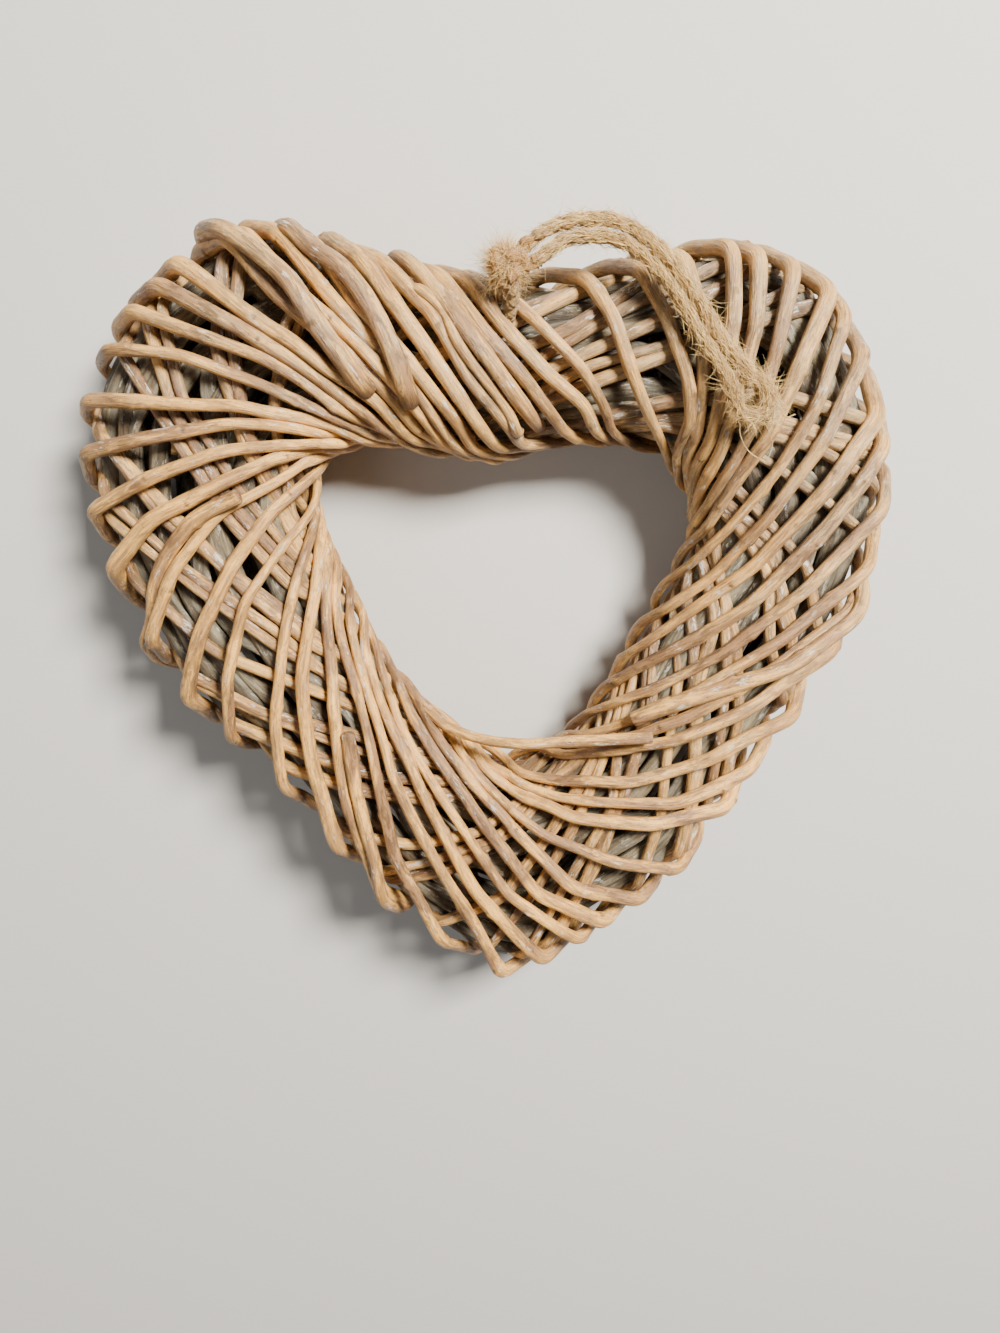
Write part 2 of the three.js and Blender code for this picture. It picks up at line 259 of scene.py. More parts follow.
def carried(path, outward, radius, closed, sides=None, profile=None):
    """A profile carried along a path: rings of points at path + radius x (cos a x out + sin a x aside),
    or the given profile in its place. Open ends are rounded off in two steps and capped.
    Returns the points, the faces and the grain: radius x cos a, radius x sin a and the run."""
    along, out, aside = path_frames(path, outward, closed)
    radius = np.broadcast_to(np.asarray(radius, float), (len(path),)).copy()
    run = run_along(path)
    if not closed:
        steps = ((0.93, 0.22), (0.72, 0.34))
        held = np.pad(np.arange(len(path)), len(steps), "edge")
        lead = [path[0] - along[0] * radius[0] * far for near, far in steps][::-1]
        tail = [path[-1] + along[-1] * radius[-1] * far for near, far in steps]
        path = np.vstack((lead, path, tail))
        out, aside, run = out[held], aside[held], run[held]
        shrink = np.array([near for near, far in steps])
        radius = np.r_[radius[0] * shrink[::-1], radius, radius[-1] * shrink]
    if profile is None:
        angle = np.linspace(0, 2 * math.pi, sides, endpoint=False)
        profile = np.column_stack((np.cos(angle), np.sin(angle)))
    sides = len(profile)
    angle = np.arctan2(profile[:, 1], profile[:, 0])
    points = (path[:, None] + radius[:, None, None]
              * (profile[None, :, :1] * out[:, None] + profile[None, :, 1:] * aside[:, None]))
    rings = len(path)
    i = np.arange(rings if closed else rings - 1)[:, None]
    j = np.arange(sides)[None, :]
    after = (i + 1) % rings
    quads = np.stack((i * sides + j, i * sides + (j + 1) % sides,
                      after * sides + (j + 1) % sides, after * sides + j), -1).reshape(-1, 4)
    faces = [quads]
    if not closed:
        faces.append(np.vstack((np.arange(sides)[::-1], (rings - 1) * sides + np.arange(sides))))
    grain = np.stack((np.cos(angle) * radius[:, None], np.sin(angle) * radius[:, None],
                      np.broadcast_to(run[:, None], (rings, sides))), -1)
    return points.reshape(-1, 3), faces, grain.reshape(-1, 3)


def in_scene(name, data):
    """A new object of the scene with this mesh, camera or light."""
    made = bpy.data.objects.new(name, data)
    bpy.context.scene.collection.objects.link(made)
    return made


class Piece:
    """Collects tubes in drawing millimetres, with their numbers per point, and makes one mesh of them."""

    def __init__(self, name):
        self.name = name
        self.points = []
        self.faces = []
        self.numbers = {}
        self.count = 0

    def add(self, points, faces, **numbers):
        self.points.append(points)
        self.faces += [face + self.count for face in faces]
        for name, values in numbers.items():
            values = np.asarray(values, np.float32)
            if values.ndim < 2 and values.size == 1:
                values = np.full(len(points), float(values), np.float32)
            self.numbers.setdefault(name, []).append(values)
        self.count += len(points)

    def made(self, material, slot):
        """The mesh object, moved into the row frame in its points, riding on the one body."""
        mesh = bpy.data.meshes.new(self.name)
        points = (np.vstack(self.points) + DRAWING_TO_ROW) * MM
        sizes = np.concatenate([np.full(len(face), face.shape[1]) for face in self.faces])
        corners = np.concatenate([face.ravel() for face in self.faces])
        mesh.vertices.add(len(points))
        mesh.vertices.foreach_set("co", points.ravel())
        mesh.loops.add(len(corners))
        mesh.loops.foreach_set("vertex_index", corners)
        mesh.polygons.add(len(sizes))
        mesh.polygons.foreach_set("loop_start", np.r_[0, np.cumsum(sizes)[:-1]])
        for name, parts in self.numbers.items():
            values = np.concatenate(parts)
            kind = ("FLOAT_VECTOR", "vector") if values.ndim == 2 else ("FLOAT", "value")
            mesh.attributes.new(name, kind[0], "POINT").data.foreach_set(kind[1], values.ravel())
        mesh.polygons.foreach_set("use_smooth", np.ones(len(sizes), bool))
        mesh.materials.append(material)
        mesh.update(calc_edges=True)
        mesh.validate()
        made = in_scene(self.name, mesh)
        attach(made, "root")
        return made


# The finishes: willow with streaks, blotches and a pale wash, and jute

class Reading:
    """A number over the surface. The usual signs between two readings join them with Math nodes."""

    def __init__(self, finish, socket):
        self.finish = finish
        self.socket = socket

    def _maths(self, operation, *terms):
        node = self.finish.node("ShaderNodeMath", {"operation": operation}, dict(enumerate(terms)))
        return Reading(self.finish, node.outputs[0])

    def __add__(self, other):
        return self._maths("ADD", self, other)

    def __sub__(self, other):
        return self._maths("SUBTRACT", self, other)

    def __rsub__(self, other):
        return self._maths("SUBTRACT", other, self)

    def __mul__(self, other):
        return self._maths("MULTIPLY", self, other)

    __radd__ = __add__
    __rmul__ = __mul__

    def between(self, low, high):
        """0 below low, 1 above high, and a smooth step in between."""
        node = self.finish.node("ShaderNodeMapRange", {"interpolation_type": "SMOOTHSTEP"},
                                {"Value": self, "From Min": low, "From Max": high})
        return Reading(self.finish, node.outputs[0])


class Finish:
    """A node material, with one method that adds a node with its settings and its inputs."""

    def __init__(self, name):
        self.material = bpy.data.materials.new(name)
        self.material.use_nodes = True
        self.tree = self.material.node_tree
        self.shader = self.tree.nodes["Principled BSDF"]

    def node(self, kind, settings=None, inputs=None):
        made = self.tree.nodes.new(kind)
        for key, value in (settings or {}).items():
            setattr(made, key, value)
        self.feed(made, inputs or {})
        return made

    def feed(self, node, inputs):
        for key, value in inputs.items():
            if isinstance(value, Reading):
                value = value.socket
            if isinstance(value, bpy.types.NodeSocket):
                self.tree.links.new(value, node.inputs[key])
            else:
                node.inputs[key].default_value = value

    def number(self, name):
        """One of the piece's own numbers per point."""
        return Reading(self, self.node("ShaderNodeAttribute", {"attribute_name": name}).outputs["Fac"])

    def grain(self, scale):
        """The piece's own grain coordinates, in millimetres, times scale."""
        source = self.node("ShaderNodeAttribute", {"attribute_name": "grain"})
        mapping = self.node("ShaderNodeMapping", {"vector_type": "TEXTURE"}, {
            "Vector": source.outputs["Vector"], "Scale": tuple(1 / s for s in scale)})
        return mapping.outputs["Vector"]

    def noise(self, vector, detail=3.0, roughness=0.55, distortion=0.0):
        made = self.node("ShaderNodeTexNoise", None, {
            "Vector": vector, "Scale": 1.0, "Detail": detail, "Roughness": roughness,
            "Distortion": distortion})
        return Reading(self, made.outputs[0])

    def blend(self, share, first, second):
        """The first colour where share is 0 and the second where it is 1. The colours of a Mix node are its
        sockets 6, 7 and 2."""
        made = self.node("ShaderNodeMix", {"data_type": "RGBA"}, {0: share, 6: first, 7: second})
        return made.outputs[2]

    def bump(self, height, distance):
        inputs = {"Height": height, "Distance": distance, "Strength": 1.0}
        return self.node("ShaderNodeBump", None, inputs).outputs["Normal"]


def sheet_colour(colour):
    """A display colour, its red, green and blue from 0 to 255, as linear light."""
    channels = [value / 255 for value in colour]
    return tuple(((c + 0.055) / 1.055) ** 2.4 if c > 0.04045 else c / 12.92 for c in channels) + (1.0,)


def willow_finish(name, light, middle, dark, grey, washed, gloss):
    """Peeled willow: long streaks and patches between two browns, grey by the number grey (partly the
    willow's own weathered grey, partly painted cool light), dark blotches and bud scars, a pale wash by the
    number wash, and a fine lengthwise bump."""
    finish = Finish(name)
    light, middle, dark, grey = map(sheet_colour, (light, middle, dark, grey))
    streaks = finish.noise(finish.grain((0.7, 0.7, 0.05)), detail=4.0, roughness=0.62).between(0.34, 0.66)
    fine = finish.noise(finish.grain((2.8, 2.8, 0.14)), roughness=0.6).between(0.3, 0.7)
    patches = finish.noise(finish.grain((0.22, 0.22, 0.045))).between(0.4, 0.6)
    blotches = finish.noise(finish.grain((0.34, 0.34, 0.09)), detail=5.0, roughness=0.66,
                            distortion=0.6).between(0.46, 0.6)
    flakes = finish.noise(finish.grain((0.32, 0.32, 0.1)), detail=5.0, roughness=0.75).between(0.56, 0.64)
    specks = finish.noise(finish.grain((1.5, 1.5, 0.7)), detail=2.0, roughness=0.6).between(0.6, 0.7)
    tone, wash, bend, greyness, scar = map(finish.number, ("tone", "wash", "bend", "grey", "scar"))
    base = finish.blend((tone * 0.7 + streaks * 0.3 + patches * 0.7 - 0.4).between(0.0, 0.9),
                        middle, light)
    # Blend towards grey: partly the willow's weathered grey, partly painted cool light on the heart's top
    # and right
    base = finish.blend((greyness + patches * 0.5 - streaks * 0.25 - 0.25).between(0.0, 0.9) * 0.65,
                        base, grey)
    base = finish.blend(blotches * (1.0 - tone * 0.5) * 0.7, base, dark)
    base = finish.blend((1.0 - streaks) * (1.0 - fine) * 0.3, base, dark)
    base = finish.blend(bend * fine * 0.5, base, light)
    base = finish.blend((scar * 1.1 - fine * 0.3).between(0.25, 0.9) * 0.85, base, dark)
    base = finish.blend(specks * 0.55, base, dark)
    pale = (wash * 0.9 + flakes * 0.85 - 0.45).between(0.1, 0.6) * (0.5 + fine * 0.5) * washed
    base = finish.blend(pale, base, sheet_colour((226, 224, 216)))
    rough = 0.62 - gloss * 0.3 + streaks * 0.12 + pale * 0.25
    normal = finish.bump(streaks * 0.35 + fine * 0.35 + pale * 0.3 - scar * 0.3, 0.0005)
    finish.feed(finish.shader, {"Base Color": base, "Roughness": rough, "Normal": normal,
                                "Specular IOR Level": 0.45})
    return finish.material


OUTER_WILLOW = willow_finish(
    "peeled_willow_outer", (252, 192, 104), (160, 121, 82), (74, 54, 38), (158, 142, 114), 0.9, 0.85)
UNDER_WILLOW = willow_finish(
    "peeled_willow_under", (238, 184, 104), (150, 114, 78), (62, 46, 34), (144, 132, 110), 0.85, 0.6)
CORE_WILLOW = willow_finish(
    "weathered_willow_core", (150, 136, 106), (92, 78, 58), (32, 26, 22), (108, 106, 96), 0.5, 0.3)


def jute_finish(name, light, deep):
    """Jute: golden fibres, with lengthwise noise for colour and bump, dull and slightly downy."""
    finish = Finish(name)
    light, deep = map(sheet_colour, (light, deep))
    fibres = finish.noise(finish.grain((4.0, 4.0, 0.35)), roughness=0.65).between(0.3, 0.7)
    patches = finish.noise(finish.grain((0.35, 0.35, 0.12)))
    tone = finish.number("tone")
    share = (fibres * 0.9 + patches * 0.5 + tone * 0.5 - 0.45).between(0.1, 0.9)
    normal = finish.bump(fibres, 0.0005)
    finish.feed(finish.shader, {
        "Base Color": finish.blend(share, deep, light), "Roughness": 0.85 + fibres * 0.1,
        "Normal": normal, "Specular IOR Level": 0.2, "Sheen Weight": 0.25})
    return finish.material


JUTE = jute_finish("jute_twine", (222, 180, 104), (120, 80, 38))
KNOT_JUTE = jute_finish("jute_knot", (224, 168, 86), (140, 90, 36))
PALE_JUTE = jute_finish("jute_fibres", (246, 214, 144), (164, 118, 62))


# The outer winding

def turn_table(shift=0):
    """Inner and outer stations of the turn that comes shift places before each turn."""
    number = np.arange(TURNS) - shift
    wrapped = TURN_STATIONS[number % TURNS]
    return wrapped + STATIONS * np.floor(number / TURNS)[:, None]


TURN_POINTS = 200
ROD_SIDES = 12
# How far the bends stray, the smallest and largest radius of a rod, and how much thinner it gets inwards
BEND_ASIDE = 1.2
BEND_OUT = 0.5
THINNEST = 2.75
THICKEST = 3.85
INWARD_THINNING = 0.16
# How much further along its colour pattern each next rod begins, in millimetres
GRAIN_STEP = 400.0
# For moving rods apart: the rounds, the turns on either side that count, the most that one moves in a
# round, and the share by which it returns
PUSH_ROUNDS = 36
PUSH_REACH = 4
LARGEST_PUSH = 1.2
RETURN_SHARE = 0.02
ROD_POINTS = TURNS_PER_ROD * TURN_POINTS
TURN_PLACE = np.arange(ROD_POINTS) / TURN_POINTS
inner_station, outer_station = turn_table().T
outer_before = turn_table(RODS)[:, 1]
outer_knots = turn_knots(inner_station, outer_station, outer_before, 1, OUTER_INSET)

# Each rod is wound four times round, and its last turn runs on into its first
rod_knots = [np.vstack(outer_knots[rod::RODS]) for rod in range(RODS)]
rod_paths = np.stack([bent_path(unsettled(knots, BEND_ASIDE, BEND_OUT), ROD_POINTS) for knots in rod_knots])
rod_radii = np.empty((RODS, ROD_POINTS))
for rod in range(RODS):
    ends = RNG.uniform(THINNEST, THICKEST, TURNS_PER_ROD)
    rod_radii[rod] = np.interp(TURN_PLACE, np.arange(TURNS_PER_ROD + 1), np.r_[ends, ends[0]])
    rod_radii[rod] += wave(ROD_POINTS, 30, 0.05)
    rod_radii[rod] *= 1 - INWARD_THINNING + INWARD_THINNING * across_at(rod_paths[rod][:, :2])
    outward = away_from_middle(rod_paths[rod])
    sideways = path_frames(rod_paths[rod], outward, True)[2]
    lift = wave(ROD_POINTS, 30, 0.3)
    drift = wave(ROD_POINTS, 16, 0.5)
    rod_paths[rod] += outward * lift[:, None] + sideways * drift[:, None]


def as_turns(values):
    """Rods by points as turns by points, in the order in which the turns lie round the ring."""
    split = values.reshape((RODS, TURNS_PER_ROD, TURN_POINTS) + values.shape[2:])
    return np.swapaxes(split, 0, 1).reshape((TURNS, TURN_POINTS) + values.shape[2:])


def as_rods(values):
    """Turns by points, in the order in which they lie round the ring, as rods by points."""
    split = values.reshape((TURNS_PER_ROD, RODS, TURN_POINTS) + values.shape[2:])
    return np.swapaxes(split, 0, 1).reshape((RODS, ROD_POINTS) + values.shape[2:])


def side_by_side(paths, radii):
    """Rods that run into each other move apart by half of what they overlap, each time with the moves
    smoothed along the rod, so that crowded rods end up side by side or on top of each other."""
    home = paths.copy()
    for step in range(PUSH_ROUNDS):
        turns = as_turns(paths).astype(np.float32)
        wide = as_turns(radii).astype(np.float32)
        square = (turns ** 2).sum(-1)
        move = np.zeros_like(turns)
        for places in range(1, PUSH_REACH + 1):
            for way in (places, -places):
                other = np.roll(turns, way, 0)
                gap = (square[:, :, None] + np.roll(square, way, 0)[:, None, :]
                       - 2 * np.einsum("kic,kjc->kij", turns, other))
                near = gap.argmin(2)
                distance = np.sqrt(np.maximum(np.take_along_axis(gap, near[..., None], 2)[..., 0], 1e-4))
                wanted = wide + np.take_along_axis(np.roll(wide, way, 0), near, 1)
                overlap = np.clip(wanted - distance, 0, LARGEST_PUSH)
                apart = turns - np.take_along_axis(other, near[..., None], 1)
                move += 0.5 * apart * (overlap / distance)[..., None]
        move = smoothed(as_rods(move).astype(float), 3, 1)
        paths = paths + move + RETURN_SHARE * (home - paths)
        paths[..., 2] = np.maximum(paths[..., 2], radii - DRAWING_TO_ROW[2])
    return paths


rod_paths = side_by_side(rod_paths, rod_radii)
turn_paths = as_turns(rod_paths)
turn_radii = as_turns(rod_radii)


def groove_share(points, own_turn):
    """1 where a point lies on a neighbouring rod, falling off over a millimetre or so: where wash stays."""
    share = np.zeros(len(points), np.float32)
    points = points.astype(np.float32)
    for step in (-3, -2, -1, 1, 2, 3):
        other = (own_turn + step) % TURNS
        line = turn_paths[other].astype(np.float32)
        gap = ((points ** 2).sum(1)[:, None] + (line ** 2).sum(1)[None] - 2 * points @ line.T)
        near = gap.argmin(1)
        clear = np.sqrt(np.maximum(gap[np.arange(len(points)), near], 0)) - turn_radii[other][near]
        share = np.maximum(share, np.exp(-np.maximum(clear, 0) / 1.1))
    return share


def bud_relief(run, around, total):
    """Buds every few centimetres: a raised pointed spot on one side, over a slight swelling all round.
    Returns the height added, and how near the spot is, from 0 to 1, for its scar."""
    relief = np.zeros(run.shape)
    scar = np.zeros(run.shape)
    place = RNG.uniform(10, 40)
    while place < total - 10:
        side = RNG.uniform(-math.pi, math.pi)
        turn = np.abs((around - side + math.pi) % (2 * math.pi) - math.pi)
        ahead = run - place
        relief += 0.7 * np.exp(-(turn / 0.5) ** 2 - (ahead / np.where(ahead > 0, 3.2, 1.3)) ** 2)
        relief += 0.2 * np.exp(-(ahead / 3.5) ** 2)
        scar += np.exp(-(turn / 0.7) ** 2 - ((ahead + 1.2) / 1.5) ** 2)
        place += RNG.uniform(24, 70)
    return relief, np.clip(scar, 0, 1).ravel()


def bend_share(path):
    """How sharply a closed path bends: 0 where its radius is over 50, and 1 where it is under 11."""
    turn = np.roll(path, -3, 0) + np.roll(path, 3, 0) - 2 * path
    step = np.linalg.norm(np.roll(path, -3, 0) - path, axis=1)
    curve = smoothed(np.linalg.norm(turn, axis=1) / step ** 2, 6)
    return np.clip((curve - 0.02) / 0.07, 0, 1)


# The height of the heart's middle in the drawing, and how far the heart reaches from there
HEART_MIDDLE = 150
HEART_REACH = 170


def weathering_and_painted_cool_light(points):
    """Greyer towards the top of the heart and on its right, as a number from 0 to 1 per point: partly the
    willow's own weathered grey, partly painted cool light falling from the top right.
    """
    high = (points[:, 1] - HEART_MIDDLE) / HEART_REACH
    right = points[:, 0] / HEART_REACH
    return np.clip(0.3 + 0.36 * high + 0.22 * right, 0, 1)


for rod in range(RODS):
    piece = Piece(f"willow_rod_{rod + 1:02d}")
    path = rod_paths[rod]
    outward = away_from_middle(path)
    points, faces, grain = carried(path, outward, rod_radii[rod], True, ROD_SIDES)
    rings = points.reshape(-1, ROD_SIDES, 3)
    angle = np.linspace(0, 2 * math.pi, ROD_SIDES, endpoint=False)[None]
    run = grain.reshape(-1, ROD_SIDES, 3)[:, :, 2]
    relief, scar = bud_relief(run, angle, run.max())
    relief += 0.05 * rod_radii[rod][:, None] * np.sin(2 * angle + wave(len(path), 9, 1.5)[:, None])
    rings = rings + unit(rings - path[:, None]) * relief[..., None]
    points = rings.reshape(-1, 3)
    wash = np.empty(len(points), np.float32)
    for turn in range(TURNS_PER_ROD):
        part = slice(turn * TURN_POINTS * ROD_SIDES, (turn + 1) * TURN_POINTS * ROD_SIDES)
        wash[part] = groove_share(points[part], turn * RODS + rod)
    shade = np.interp(TURN_PLACE, np.arange(TURNS_PER_ROD + 1), RNG.uniform(0.1, 0.95, TURNS_PER_ROD + 1))
    tone = np.repeat(np.clip(shade + wave(len(path), 14, 0.2), 0, 1), ROD_SIDES)
    grain[:, 2] += GRAIN_STEP * rod
    # The number grey holds painted cool light on the top and right, over the willow's weathered grey
    piece.add(points, faces, grain=grain, tone=tone, wash=wash,
              bend=np.repeat(bend_share(path), ROD_SIDES), grey=weathering_and_painted_cool_light(points), scar=scar)
    made = piece.made(OUTER_WILLOW, "peeled_willow")
    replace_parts(made, *[f"outer_rod_{rod + 1:02d}_turn_{turn}" for turn in range(1, 5)])


# The rods that begin or end on the front, and two between the turns. Near an end, over this many
# millimetres, the tone darkens to that of the cut.
CUT_REACH = 14
SHORT_POINTS = 110
SHORT_SIDES = 14


def lying_on_winding(line, radius, sunk, free_end):
    """A path lowered onto the rods: pushed out of the ring until it is clear of them but for a share
    sunk of both radii, in rounds with the moves smoothed along it. Its start stays in, between the rods,
    and so does its end, unless that is free."""
    centres = turn_paths.reshape(-1, 3)
    wide = turn_radii.reshape(-1)
    way = np.linspace(0, 1, len(line))
    hold = np.clip((way - 0.12) / 0.1, 0, 1)
    if not free_end:
        hold = hold * np.clip((1 - way) / 0.12, 0, 1)
    for step in range(16):
        gap, near = nearest(centres, line)
        short = np.clip((radius + wide[near]) * (1 - sunk) - gap, 0, 1.5) * hold
        for again in range(16):
            short = np.convolve(np.r_[short[0], short, short[-1]], (0.25, 0.5, 0.25), "valid")
        line = line + away_from_middle(line) * short[:, None]
    for again in range(20):
        line[1:-1] = (line[:-2] + 2 * line[1:-1] + line[2:]) / 4
    return line


# The points that each goes by, its radii at both ends, whether the end is free, how dark the end is, and
# its tone
SHORT_RODS = {
    "thick_rod_upper_left": (
        ((-119, 305, -14), (-117, 311, 4), (-108, 311, 19), (-97, 308, 27), (-88, 302, 31), (-79, 294, 33),
         (-70, 280, 34), (-60, 267, 31), (-52, 256, 25)), 3.5, 4.1, False, 0.95, 0.3),
    "spear_rod_upper_left": (
        ((-92, 306, -8), (-84, 309, 14), (-71, 306, 27), (-61, 301, 32), (-51, 289, 34), (-43, 274, 34),
         (-38, 262, 31), (-35, 252, 25)), 3.2, 4.0, False, 0.95, 0.2),
    "cut_rod_left": (
        ((-148, 130, -20), (-156, 138, -4), (-150, 150, 14), (-142, 180, 27), (-124, 204, 31),
         (-105, 214, 33)), 2.9, 3.2, True, 0.5, 0.6),
    "thick_rod_lower_right": (
        ((152, 192, -14), (156, 186, 2), (152, 175, 16), (145, 163, 24), (135, 154, 29), (124, 146, 31),
         (104, 138, 33), (85, 131, 33), (66, 124, 31), (58, 119, 28)), 2.9, 3.6, True, 0.4, 0.6),
    "cut_rod_lower_right": (
        ((-36, 117, 2), (-24, 111, 14), (-8, 108, 23), (8, 108, 29), (30, 110, 32), (64, 113, 35)),
        2.3, 2.6, True, 0.3, 0.7),
    "butt_rod_lower_left": (
        ((-42, 14, -12), (-46, 18, 6), (-50, 33, 20), (-55, 50, 28), (-62, 85, 32), (-65, 113, 32)),
        2.6, 3.1, True, 0.6, 0.5),
    "between_rod_top": (
        ((-47, 300, -14), (-41, 306, 8), (-27, 295, 27), (-18, 284, 32), (-11, 275, 34), (-3, 265, 34),
         (6, 253, 31), (13, 244, 24), (17, 240, 8)), 3.3, 3.1, False, 0.0, 0.6),
    "thin_rod_top": (
        ((-41, 294, 16), (-32, 291, 26), (-22, 285, 31), (-18, 276, 33), (-13, 268, 33), (-5, 258, 32),
         (4, 246, 27), (7, 241, 18), (9, 238, 4)), 2.3, 2.0, False, 0.0, 0.8),
}


def short_rod(name, seen, start_radius, end_radius, free_end, end_dark, tone):
    """One rod that ends on the front, set on the winding, with a darker cut at its end."""
    line = smooth_path(np.array(seen, float), SHORT_POINTS)
    radius = np.linspace(start_radius, end_radius, SHORT_POINTS) * (1 + wave(SHORT_POINTS, 5, 0.02, False))
    line = lying_on_winding(line, radius, 0.25, free_end)
    piece = Piece(name)
    points, faces, grain = carried(line, away_from_middle(line), radius, False, SHORT_SIDES)
    run = grain[:, 2].copy()
    relief, scar = bud_relief(run, np.arctan2(grain[:, 1], grain[:, 0]), run.max())
    middles = np.repeat(np.pad(line, ((2, 2), (0, 0)), "edge"), SHORT_SIDES, 0)
    points = points + unit(points - middles) * relief[:, None]
    near_end = np.clip((run - run.max() + CUT_REACH) / CUT_REACH, 0, 1)
    grain[:, 2] += RNG.uniform(1000, 9000)
    # The number grey holds painted cool light on the top and right, over the willow's weathered grey
    piece.add(points, faces, grain=grain, tone=tone * (1 - 0.85 * near_end), wash=0.1, bend=0.0,
              grey=weathering_and_painted_cool_light(points) * (1 - near_end), scar=np.maximum(scar, near_end * end_dark))
    return piece.made(OUTER_WILLOW, "peeled_willow")


for name, shape in SHORT_RODS.items():
    short_rod(name, *shape)


# What shows through the gaps: the under winding, and the sticks and splints of the core. The insets are
# from the heart's edges, and the heights from its middle plane.
UNDER_RODS = 12
UNDER_TURNS = 48
UNDER_INSET = 7.6
UNDER_FIRST = 1.3
UNDER_LEAN = 3.2
UNDER_POINTS = 520
UNDER_SIDES = 10
CORE_SIDES = 12
STICKS = 15
STICK_INSET = 13.0
STICK_HEIGHT = 18.5
STICK_POINTS = 200
SPLINTS = 7
SPLINT_INSET = 11.6
SPLINT_HEIGHT = 21.2
SPLINT_POINTS = 220
SPLINT_THICKNESS = 0.3


def slow_tone(middle, count, waves, amount, sides):
    """A tone for each point of a closed tube, which wanders slowly along it."""
    return np.repeat(np.clip(middle + wave(count, waves, amount), 0, 1), sides)


def under_winding():
    """Thinner rods under the outer ones, wound the other way: their stations go down evenly, with a
    little seeded unevenness."""
    number = np.arange(-UNDER_RODS, UNDER_TURNS)
    uneven = np.tile(RNG.uniform(-0.24, 0.24, UNDER_TURNS), 2)[UNDER_TURNS - UNDER_RODS:2 * UNDER_TURNS]
    inner = UNDER_FIRST - number * STATIONS / UNDER_TURNS + uneven
    outer = inner - UNDER_LEAN + 1.2 * np.roll(uneven, 5)
    knots = turn_knots(inner[UNDER_RODS:], outer[UNDER_RODS:], outer[:UNDER_TURNS], -1, UNDER_INSET)
    piece = Piece("under_winding")
    for rod in range(UNDER_RODS):
        path = bent_path(unsettled(np.vstack(knots[rod::UNDER_RODS]), 2.2, 0.4), UNDER_POINTS, 4)
        radius = RNG.uniform(2.2, 3.0) + wave(UNDER_POINTS, 20, 0.12)
        points, faces, grain = carried(path, away_from_middle(path), radius, True, UNDER_SIDES)
        grain[:, 2] += 900.0 + 400 * rod
        # The number grey holds painted cool light on the top and right, over the willow's weathered grey
        piece.add(points, faces, grain=grain, tone=slow_tone(0.5, UNDER_POINTS, 8, 0.35, UNDER_SIDES),
                  wash=0.3, bend=0.0, grey=np.clip(weathering_and_painted_cool_light(points) + 0.05, 0, 1), scar=0.0)
    return piece.made(UNDER_WILLOW, "peeled_willow")


under_winding()


def lengthwise(station, angle, inset, height, sway):
    """A line along the ring at an angle round its section, which sways slowly. Across is the angle's
    cosine and level its sine times height, each with its size to the power 0.8."""
    angle = angle + sway
    across = np.sign(np.cos(angle)) * np.abs(np.cos(angle)) ** 0.8
    level = height * np.sign(np.sin(angle)) * np.abs(np.sin(angle)) ** 0.8
    return np.column_stack((ring_point(station, across, inset), level))


def core_rods():
    """Thick lengthwise sticks of the core, one beside the other round its section, and two short ones
    that cross the ring."""
    piece = Piece("core_rods")
    station = np.linspace(0, STATIONS, STICK_POINTS, endpoint=False)
    for number in range(STICKS):
        angle = 2 * math.pi * number / STICKS + RNG.uniform(-0.08, 0.08)
        path = lengthwise(station, angle, STICK_INSET, STICK_HEIGHT, wave(STICK_POINTS, 9, 0.04))
        outward = away_from_middle(path)
        path = path + outward * wave(STICK_POINTS, 8, 0.5)[:, None]
        radius = RNG.uniform(4.2, 5.2) + wave(STICK_POINTS, 9, 0.2)
        points, faces, grain = carried(path, outward, radius, True, CORE_SIDES)
        grain[:, 2] += 6000.0 + 900 * number
        piece.add(points, faces, grain=grain, tone=slow_tone(0.5, STICK_POINTS, 6, 0.4, CORE_SIDES),
                  wash=0.3, bend=0.0, grey=RNG.uniform(0.2, 0.9), scar=0.0)
    for ends in (((149, 229, 15), (127, 204, 17), (104, 178, 16), (88, 152, 12)),
                 ((-104, 303, 10), (-92, 292, 15), (-76, 277, 17), (-62, 262, 14))):
        path = smooth_path(np.array(ends, float), 60)
        points, faces, grain = carried(path, away_from_middle(path), 4.9, False, 14)
        piece.add(points, faces, grain=grain, tone=0.95, wash=0.2, bend=0.0, grey=0.6, scar=0.0)
    return piece.made(CORE_WILLOW, "core_willow")


def core_splints():
    """Flat split willow on the core: a strip with rounded edges, about three times as wide as thick."""
    piece = Piece("core_splints")
    station = np.linspace(0, STATIONS, SPLINT_POINTS, endpoint=False)
    angle = np.linspace(0, 2 * math.pi, CORE_SIDES, endpoint=False)
    profile = np.column_stack((SPLINT_THICKNESS * np.sign(np.sin(angle)) * np.abs(np.sin(angle)) ** 0.5,
                               -np.sign(np.cos(angle)) * np.abs(np.cos(angle)) ** 0.7))
    for number in range(SPLINTS):
        place = 2 * math.pi * number / SPLINTS + RNG.uniform(-0.15, 0.15)
        path = lengthwise(station, place, SPLINT_INSET, SPLINT_HEIGHT, wave(SPLINT_POINTS, 6, 0.12))
        outward = away_from_middle(path)
        path = path + outward * wave(SPLINT_POINTS, 8, 0.4)[:, None]
        points, faces, grain = carried(path, outward, RNG.uniform(3.2, 4.6), True, profile=profile)
        grain[:, 2] += 40000.0 + 900 * number
        piece.add(points, faces, grain=grain, tone=slow_tone(0.6, SPLINT_POINTS, 6, 0.4, CORE_SIDES),
                  wash=0.4, bend=0.0, grey=RNG.uniform(0.45, 0.95), scar=0.0)
    return piece.made(CORE_WILLOW, "core_willow")


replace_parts(core_rods(), "core_bundle")
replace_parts(core_splints(), "core_bundle")


# The hanger: the loop, the knot and their down

def in_drawing(point):
    """A point of the row frame, in millimetres, in the drawing."""
    return np.asarray(point, float) - DRAWING_TO_ROW


